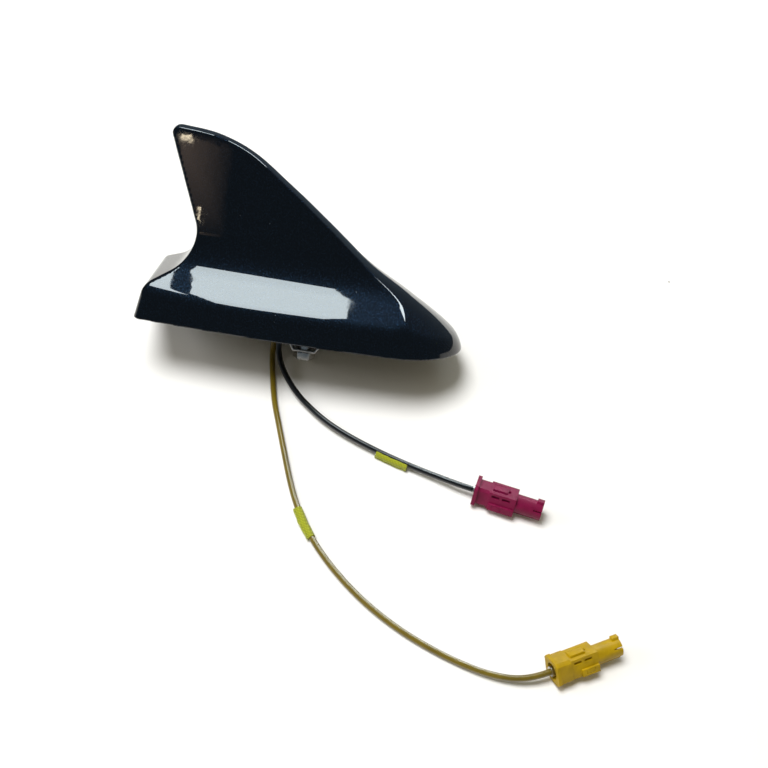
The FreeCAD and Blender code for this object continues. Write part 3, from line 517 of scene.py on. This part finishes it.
def smooth_faces(mesh):
    """Smooth shading on every face."""
    mesh.polygons.foreach_set("use_smooth", [True] * len(mesh.polygons))


def vertex_rows(mesh, field):
    """A field of the mesh's vertices, one row of three numbers for each."""
    values = np.empty(len(mesh.vertices) * 3)
    mesh.vertices.foreach_get(field, values)
    return values.reshape(-1, 3)


# Fin cover


def round_meet(first, second, radius):
    """Where two solids both are, their common edge rounded. Both are distances, negative inside."""
    corner = np.hypot(np.maximum(first + radius, 0), np.maximum(second + radius, 0))
    return np.minimum(-radius, np.maximum(first, second)) + corner


def round_join(first, second, radius):
    """Where either of two solids is, the corner between them filled."""
    corner = np.hypot(np.maximum(radius - first, 0), np.maximum(radius - second, 0))
    return np.maximum(radius, np.minimum(first, second)) - corner


def spine_line(x):
    """Height and slope of the spine's crown at a place: a cubic through its stations."""
    setback = NOSE_REACH - x
    back, high = np.array(list(SPINE.values())).T
    slope = np.gradient(high, back)
    left = np.clip(np.searchsorted(back, setback) - 1, 0, len(back) - 2)
    run = back[left + 1] - back[left]
    t = np.clip((setback - back[left]) / run, 0, 1)
    rise = high[left + 1] - high[left]
    start = run * slope[left]
    end = run * slope[left + 1]
    bend = 3 * rise - 2 * start - end
    twist = start + end - 2 * rise
    height = high[left] + start * t + bend * t ** 2 + twist * t ** 3
    steep = start + 2 * bend * t + 3 * twist * t ** 2
    return height, steep / run


def flank_field(y, z):
    """Sloping shoulders that sweep up into the upright blade."""
    slope = (y - SHOULDER_HALF) * math.sin(FLANK_SLOPE) + (z - SHOULDER_HEIGHT) * math.cos(FLANK_SLOPE)
    blade = (y - BLADE_TOP_HALF) * math.cos(BLADE_LEAN) + (z - FIN_HEIGHT) * math.sin(BLADE_LEAN)
    return round_join(slope, blade, FLANK_BLEND)


def spine_field(x, y, z):
    """Below the arched spine."""
    height, steep = spine_line(x)
    drop = CROWN_RADIUS - np.sqrt(np.maximum(CROWN_RADIUS ** 2 - y ** 2, 0))
    return (z - height + drop) / np.sqrt(1 + steep ** 2)


def tail_field(x, z):
    """In front of the trailing edge or under the scooped tail."""
    across = math.cos(TRAILING_LEAN)
    down = math.sin(TRAILING_LEAN)
    tip_x = -REAR_REACH + TIP_SETBACK + TIP_RADIUS
    tip_z = FIN_HEIGHT - TIP_RADIUS
    trailing = -(x - tip_x) * across - (z - tip_z) * down - TIP_RADIUS
    waist_x = tip_x - TIP_RADIUS * across + (tip_z - WAIST_HEIGHT) * math.tan(TRAILING_LEAN)
    waist_z = WAIST_HEIGHT - TIP_RADIUS * down
    scoop = -(x - waist_x) * math.sin(TAIL_SLOPE) + (z - waist_z) * math.cos(TAIL_SLOPE)
    return round_join(trailing, scoop, WAIST_BLEND)


def skirt_inset(z):
    """How far the leaning skirt has come in at a height."""
    return np.minimum(z, SKIRT_TOP) * math.tan(SKIRT_LEAN)


def side_field(x, y, z):
    """Inside the skirt's long sides and round nose."""
    inset = skirt_inset(z)
    start = NOSE_REACH - NOSE_LENGTH
    middle = (start - REAR_REACH) / 2
    away = (x - middle) / (start - middle)
    narrowing = np.where(x < middle, MIDDLE_HALF - REAR_HALF, MIDDLE_HALF - NOSE_HALF)
    half = MIDDLE_HALF - narrowing * away ** 2 - inset
    ahead = np.maximum(x - start, 0) / (NOSE_LENGTH - inset)
    return (np.hypot(ahead, y / half) - 1) * half * math.cos(SKIRT_LEAN)


def rear_field(x, z):
    """In front of the skirt's leaning rear."""
    return (-x - REAR_REACH + skirt_inset(z)) * math.cos(SKIRT_LEAN)


def fin_field(points):
    """Distance-like field of the fin's outer surface, in millimetres, negative inside."""
    x, y, z = points.T
    y = np.abs(y)
    profile = round_meet(spine_field(x, y, z), tail_field(x, z), TIP_RADIUS)
    body = round_meet(flank_field(y, z), profile, CREASE_ROUND)
    body = round_meet(body, side_field(x, y, z), SHOULDER_ROUND)
    return round_meet(body, rear_field(x, z), REAR_ROUND)


def fin_gradient(points):
    """The field's slope at each point, by central differences."""
    columns = []
    for axis in np.eye(3) * GRADIENT_STEP:
        columns.append((fin_field(points + axis) - fin_field(points - axis)) / (2 * GRADIENT_STEP))
    return np.array(columns).T


def even_cover():
    """The CAD cover's shell as an even fine mesh."""
    rough = scratch_object("rough_cover", nodes["fin_cover"].data.copy())
    remesh = rough.modifiers.new("remesh", "REMESH")
    remesh.mode = "VOXEL"
    remesh.voxel_size = REMESH_SIZE
    return baked(rough)


def on_surface(skin):
    """Points moved onto the fin's rounded outer surface, and not below its rim."""
    for _ in range(PROJECT_STEPS):
        slope = fin_gradient(skin)
        skin = skin - slope * (fin_field(skin) / np.sum(slope ** 2, axis=1))[:, None]
    skin[:, 2] = np.maximum(skin[:, 2], RIM_HEIGHT)
    return skin


def finished_cover():
    """The cover's shell with all its outer edges rounded, and smooth enough to mirror a lamp."""
    mesh = even_cover()
    points = vertex_rows(mesh, "co") / MM
    near_rim = points[:, 2] < RIM_HEIGHT + RIM_BAND
    outside = fin_field(points) > np.where(near_rim, -RIM_SKIN_DEPTH, -SKIN_DEPTH)
    points[outside] = on_surface(points[outside])
    mesh.vertices.foreach_set("co", (points * MM).ravel())
    smooth_faces(mesh)
    mesh.update()
    normals = vertex_rows(mesh, "normal")
    true_skin = outside & (points[:, 2] > RIM_HEIGHT + RIM_EDGE)
    normals[true_skin] = fin_gradient(points[true_skin])
    normals /= np.linalg.norm(normals, axis=1)[:, None]
    mesh.normals_split_custom_set_from_vertices(normals.tolist())
    mesh.name = "finished_fin_cover"
    return add_piece("fin_cover", mesh)


# Small rigid pieces


def softened(node, width):
    """A CAD node's own shape with its sharp edges broken."""
    mesh = nodes[node].data.copy()
    work = bmesh.new()
    work.from_mesh(mesh)
    bmesh.ops.remove_doubles(work, verts=work.verts, dist=WELD)
    bmesh.ops.dissolve_limit(work, angle_limit=FLAT_ANGLE, verts=work.verts, edges=work.edges)
    sharp = [e for e in work.edges if len(e.link_faces) == 2 and e.calc_face_angle(0) > SHARP_ANGLE]
    bmesh.ops.bevel(work, geom=sharp, offset=width, segments=EDGE_SEGMENTS, affect="EDGES",
                    profile=ROUND_PROFILE, clamp_overlap=True)
    work.to_mesh(mesh)
    work.free()
    smooth_faces(mesh)
    mesh.set_sharp_from_angle(angle=SHARP_ANGLE)
    return add_piece(node, mesh)


def plug_pieces(name):
    """A plug's moulded pieces with broken edges, then its metal and insulator as they are."""
    housing = softened(name + "_housing", HOUSING_EDGE)
    lock = softened(name + "_lock", LOCK_EDGE)
    inner = [nodes[name + "_" + piece] for piece in ("ferrule", "contact", "insulator", "pin")]
    return [housing, lock] + inner


# Leads


def route_curve(name, route):
    """A smooth open curve with the route's points as its control points."""
    curve = bpy.data.curves.new(name, "CURVE")
    curve.dimensions = "3D"
    spline = curve.splines.new("NURBS")
    spline.points.add(len(route) - 1)
    for point, place in zip(spline.points, route):
        point.co = (*(Vector(place) * MM), 1)
    spline.order_u = LEAD_ORDER
    spline.use_endpoint_u = True
    spline.resolution_u = LEAD_STEPS
    return curve


def lead(name, node, route):
    """A free lead as a round tube along its route, in place of its CAD node."""
    slot = SLOT_OF[node]
    curve = route_curve(name, route)
    curve.bevel_depth = CABLE_DIAMETER / 2
    curve.bevel_resolution = LEAD_ROUNDNESS
    curve.use_fill_caps = True
    curve.materials.append(MATERIALS[slot])
    item = scratch_object(name, curve)
    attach(item, BODY)
    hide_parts(node)
    return item


# Tapes


def tape_sockets():
    """An empty tree with a path and the tape's sizes as its inputs."""
    tree = bpy.data.node_groups.new("tape_along_path", "GeometryNodeTree")
    face = tree.interface
    face.new_socket(name="Path", in_out="INPUT", socket_type="NodeSocketGeometry")
    sizes = ("Start", "End", "Radius", "Flag Width", "Flag Thickness", "Flag Angle", "Sag", "Crumple")
    for label in sizes:
        face.new_socket(name=label, in_out="INPUT", socket_type="NodeSocketFloat")
    face.new_socket(name="Cloth", in_out="INPUT", socket_type="NodeSocketMaterial")
    face.new_socket(name="Tape", in_out="OUTPUT", socket_type="NodeSocketGeometry")
    return tree, tree.nodes.new("NodeGroupInput"), tree.nodes.new("NodeGroupOutput")


def taped_stretch(tree, inputs):
    """The stretch of the path under the tape, with even points and level profiles."""
    upright = add(tree, "GeometryNodeSetCurveNormal", {"mode": "Z_UP"})
    trim = add(tree, "GeometryNodeTrimCurve", {"mode": "FACTOR"})
    even = add(tree, "GeometryNodeResampleCurve", values={"Count": STRETCH_POINTS})
    link(tree, inputs, "Path", upright, "Curve")
    link(tree, upright, "Curve", trim, "Curve")
    link(tree, inputs, "Start", trim, "Start")
    link(tree, inputs, "End", trim, "End")
    link(tree, trim, "Curve", even, "Curve")
    return even


def wrap_ring(tree, inputs):
    """The round profile of the wrap."""
    ring = add(tree, "GeometryNodeCurvePrimitiveCircle", values={"Resolution": WRAP_POINTS})
    link(tree, inputs, "Radius", ring, "Radius")
    return ring


def flag_sheet(tree, inputs):
    """The flat profile of the two ends stuck together."""
    sheet = add(tree, "GeometryNodeCurvePrimitiveQuadrilateral")
    fine_sheet = add(tree, "GeometryNodeResampleCurve", values={"Count": FLAG_POINTS})
    link(tree, inputs, "Flag Width", sheet, "Width")
    link(tree, inputs, "Flag Thickness", sheet, "Height")
    link(tree, sheet, "Curve", fine_sheet, "Curve")
    return fine_sheet


def swept_profile(tree, stretch, profile, source, amount, turn):
    """A closed sweep of a profile that is moved off the path by an amount and then turned about it."""
    sideways = add(tree, "ShaderNodeCombineXYZ")
    moved = add(tree, "GeometryNodeTransform")
    turned = add(tree, "GeometryNodeTransform")
    sweep = add(tree, "GeometryNodeCurveToMesh", values={"Fill Caps": True})
    link(tree, source, amount, sideways, "X")
    link(tree, profile, "Curve", moved, "Geometry")
    link(tree, sideways, "Vector", moved, "Translation")
    link(tree, moved, "Geometry", turned, "Geometry")
    link(tree, turn, "Vector", turned, "Rotation")
    link(tree, stretch, "Curve", sweep, "Curve")
    link(tree, turned, "Geometry", sweep, "Profile Curve")
    return sweep


def crumpled(tree, inputs, shape):
    """A shape with its points shaken a little by a noise."""
    noise = add(tree, "ShaderNodeTexNoise", {"noise_dimensions": "3D"}, {
        "Scale": CRUMPLE_SCALE, "Detail": 2.0})
    centred = add(tree, "ShaderNodeVectorMath", {"operation": "SUBTRACT"}, {1: (0.5, 0.5, 0.5)})
    offset = add(tree, "ShaderNodeVectorMath", {"operation": "SCALE"})
    shaken = add(tree, "GeometryNodeSetPosition")
    link(tree, noise, "Color", centred, 0)
    link(tree, centred, "Vector", offset, 0)
    link(tree, inputs, "Crumple", offset, "Scale")
    link(tree, shape, "Geometry", shaken, "Geometry")
    link(tree, offset, "Vector", shaken, "Offset")
    return shaken


def tape_tree():
    """A tape along a stretch of a path: a wrap round the cable and a flag of its two stuck ends."""
    tree, inputs, outputs = tape_sockets()
    stretch = taped_stretch(tree, inputs)
    turn = add(tree, "ShaderNodeCombineXYZ")
    half_flag = add(tree, "ShaderNodeMath", {"operation": "MULTIPLY"}, {1: 0.5})
    both = add(tree, "GeometryNodeJoinGeometry")
    real = add(tree, "GeometryNodeRealizeInstances")
    cloth = add(tree, "GeometryNodeSetMaterial")
    link(tree, inputs, "Flag Angle", turn, "Z")
    link(tree, inputs, "Flag Width", half_flag, 0)
    wrap = swept_profile(tree, stretch, wrap_ring(tree, inputs), inputs, "Sag", turn)
    flag = swept_profile(tree, stretch, flag_sheet(tree, inputs), half_flag, 0, turn)
    link(tree, wrap, "Mesh", both, "Geometry")
    link(tree, flag, "Mesh", both, "Geometry")
    link(tree, crumpled(tree, inputs, both), "Geometry", real, "Geometry")
    link(tree, real, "Geometry", cloth, "Geometry")
    link(tree, inputs, "Cloth", cloth, "Material")
    link(tree, cloth, "Geometry", outputs, "Tape")
    return tree


TAPE_TREE = tape_tree()


def tape(node, route, lie):
    """A cloth tape on a lead; its lie says where on the lead it is and how it hangs."""
    path = scratch_object(node + "_path", route_curve(node + "_path", route))
    modifier = path.modifiers.new("tape", "NODES")
    modifier.node_group = TAPE_TREE
    values = {
        "Radius": CABLE_DIAMETER / 2 + TAPE_THICKNESS,
        "Flag Thickness": 2 * TAPE_THICKNESS,
        "Crumple": TAPE_CRUMPLE,
        "Cloth": MATERIALS["cloth_tape"],
        **lie,
    }
    for socket in TAPE_TREE.interface.items_tree:
        if socket.in_out == "INPUT" and socket.name in values:
            modifier[socket.identifier] = values[socket.name]
    return add_piece(node, baked(path))


# Stage


def white_table():
    """White paper-like surface with a few dark specks, seen through from below."""
    material, tree, shader = new_material("white_table", {"Roughness": 0.6, "Specular IOR Level": 0.2})
    specks = use_group(tree, SPECKS, {"Scale": 22.0, "Radius": 0.016, "Share": 0.3})
    colour = add(tree, "ShaderNodeMix", COLOUR_MIX, {"A": TABLE_WHITE, "B": TABLE_SPECK})
    side = add(tree, "ShaderNodeNewGeometry")
    clear = add(tree, "ShaderNodeBsdfTransparent")
    either = add(tree, "ShaderNodeMixShader")
    output = next(n for n in tree.nodes if n.type == "OUTPUT_MATERIAL")
    link(tree, specks, "Mask", colour, "Factor")
    link(tree, colour, "Result", shader, "Base Color")
    link(tree, side, "Backfacing", either, "Fac")
    link(tree, shader, "BSDF", either, 1)
    link(tree, clear, "BSDF", either, 2)
    link(tree, either, "Shader", output, "Surface")
    return material


def table_part(name, near, far, material):
    """A stretch of the table between two distances away from the camera."""
    corners = [(-TABLE_HALF, near), (TABLE_HALF, near), (TABLE_HALF, far), (-TABLE_HALF, far)]
    spots = [TABLE_SPOT + TABLE_RIGHT * right + TABLE_AWAY * away for right, away in corners]
    mesh = bpy.data.meshes.new(name)
    mesh.from_pydata(spots, [], ONE_FACE)
    mesh.materials.append(material)
    item = scratch_object(name, mesh)
    return item


def table_top():
    """The white table; its far part isn't mirrored, so that the spine stays dark."""
    material = white_table()
    table_part("near_table", -TABLE_HALF, MIRRORED_DEPTH, material)
    far_table = table_part("far_table", MIRRORED_DEPTH, TABLE_HALF, material)
    far_table.visible_glossy = False


def overhead(corners):
    """A pane's corners, level above the antenna."""
    return [(x, y, PANE_HEIGHT) for x, y in corners]


def behind_camera(corners):
    """A pane's corners, upright behind the camera."""
    return [(x, WARM_DISTANCE, z) for x, z in corners]


def pane_glow(name, colour, strength):
    """A clear glow, as strong at each corner as the pane's share there."""
    material = bpy.data.materials.new(name)
    material.use_nodes = True
    tree = material.node_tree
    tree.nodes.clear()
    share = add(tree, "ShaderNodeAttribute", {"attribute_name": "share"})
    level = add(tree, "ShaderNodeMath", {"operation": "MULTIPLY"}, {1: strength})
    glow = add(tree, "ShaderNodeEmission", values={"Color": colour})
    clear = add(tree, "ShaderNodeBsdfTransparent")
    both = add(tree, "ShaderNodeAddShader")
    output = add(tree, "ShaderNodeOutputMaterial")
    link(tree, share, "Fac", level, 0)
    link(tree, level, 0, glow, "Strength")
    link(tree, glow, "Emission", both, 0)
    link(tree, clear, "BSDF", both, 1)
    link(tree, both, "Shader", output, "Surface")
    return material


def bright_pane(name, corners, colour, strength, shares=EVEN_SHARES):
    """A pane that is only seen mirrored, with each corner's share of its glow."""
    mesh = bpy.data.meshes.new(name)
    mesh.from_pydata([Vector(corner) * MM for corner in corners], [], ONE_FACE)
    mesh.attributes.new("share", "FLOAT", "POINT").data.foreach_set("value", shares)
    mesh.materials.append(pane_glow(name, colour, strength))
    item = scratch_object(name, mesh)
    item.visible_camera = False
    item.visible_diffuse = False
    item.visible_shadow = False


def soft_lamp(name, right, away, up, size, power):
    """A round lamp over the table that points at the antenna and isn't mirrored in it."""
    lamp = bpy.data.lights.new(name, "AREA")
    lamp.shape = "DISK"
    lamp.size = size
    lamp.energy = power
    item = scratch_object(name, lamp)
    place = TABLE_SPOT + TABLE_RIGHT * right + TABLE_AWAY * away + TABLE_UP * up
    facing = (place - TABLE_SPOT).to_track_quat("Z", "Y").to_matrix().to_4x4()
    item.matrix_world = Matrix.Translation(place) @ facing
    item.visible_glossy = False


def dim_room():
    """A dim warm room, darker where it is mirrored, and plain white where the camera sees it."""
    world = bpy.data.worlds.new("dim_room")
    bpy.context.scene.world = world
    world.use_nodes = True
    tree = world.node_tree
    tree.nodes.clear()
    path = add(tree, "ShaderNodeLightPath")
    glow = add(tree, "ShaderNodeMix", COLOUR_MIX, {"A": ROOM_LIGHT, "B": ROOM_MIRRORED})
    room = add(tree, "ShaderNodeBackground")
    white = add(tree, "ShaderNodeBackground", values={"Color": PLAIN_WHITE, "Strength": 1.0})
    either = add(tree, "ShaderNodeMixShader")
    output = add(tree, "ShaderNodeOutputWorld")
    link(tree, path, "Is Glossy Ray", glow, "Factor")
    link(tree, glow, "Result", room, "Color")
    link(tree, path, "Is Camera Ray", either, "Fac")
    link(tree, room, "Background", either, 1)
    link(tree, white, "Background", either, 2)
    link(tree, either, "Shader", output, "Surface")


def photo_camera():
    """The photograph's view, tilted as the camera was."""
    level = math.cos(CAMERA_ELEVATION)
    back = Vector((
        math.sin(CAMERA_AZIMUTH) * level,
        -math.cos(CAMERA_AZIMUTH) * level,
        math.sin(CAMERA_ELEVATION),
    ))
    flat_right = (-back).cross(Vector((0, 0, 1))).normalized()
    flat_down = (-back).cross(flat_right)
    right = flat_right * math.cos(CAMERA_ROLL) + flat_down * math.sin(CAMERA_ROLL)
    up = flat_right * math.sin(CAMERA_ROLL) - flat_down * math.cos(CAMERA_ROLL)
    data = bpy.data.cameras.new("photo_camera")
    data.angle = CAMERA_ANGLE
    data.clip_start = CAMERA_CLIP
    item = scratch_object("photo_camera", data)
    item.matrix_world = Matrix.Translation(CAMERA_EYE) @ Matrix((right, up, back)).transposed().to_4x4()
    bpy.context.scene.camera = item


# The antenna, its leads and the stage

dress_nodes()
finished_cover()
softened("mounting_bolt", BOLT_EDGE)
softened("retaining_claw", CLAW_EDGE)
curry_plug = plug_pieces("curry")
bordeaux_plug = plug_pieces("bordeaux")
olive_lead = lead("olive_lead", "olive_cable", OLIVE_ROUTE)
black_lead = lead("black_lead", "black_cable", BLACK_ROUTE)
olive_tape = tape("olive_tape", OLIVE_ROUTE, OLIVE_TAPE)
black_tape = tape("black_tape", BLACK_ROUTE, BLACK_TAPE)
table_top()
bright_pane("main_pane", overhead(MAIN_PANE), SKY, SKY_STRENGTH)
bright_pane("side_pane", overhead(SIDE_PANE), SKY, SKY_STRENGTH)
bright_pane("crease_pane", overhead(CREASE_PANE), SKY, CREASE_STRENGTH)
bright_pane("warm_wall", behind_camera(WARM_WALL), WARM, WARM_STRENGTH, WARM_SHARES)
bright_pane("upper_glint", behind_camera(UPPER_GLINT), GLINT, GLINT_STRENGTH)
bright_pane("lower_glint", behind_camera(LOWER_GLINT), GLINT, GLINT_STRENGTH)
soft_lamp("key_lamp", **KEY_LAMP)
soft_lamp("fill_lamp", **FILL_LAMP)
dim_room()
photo_camera()
bpy.context.scene.view_settings.view_transform = "Standard"
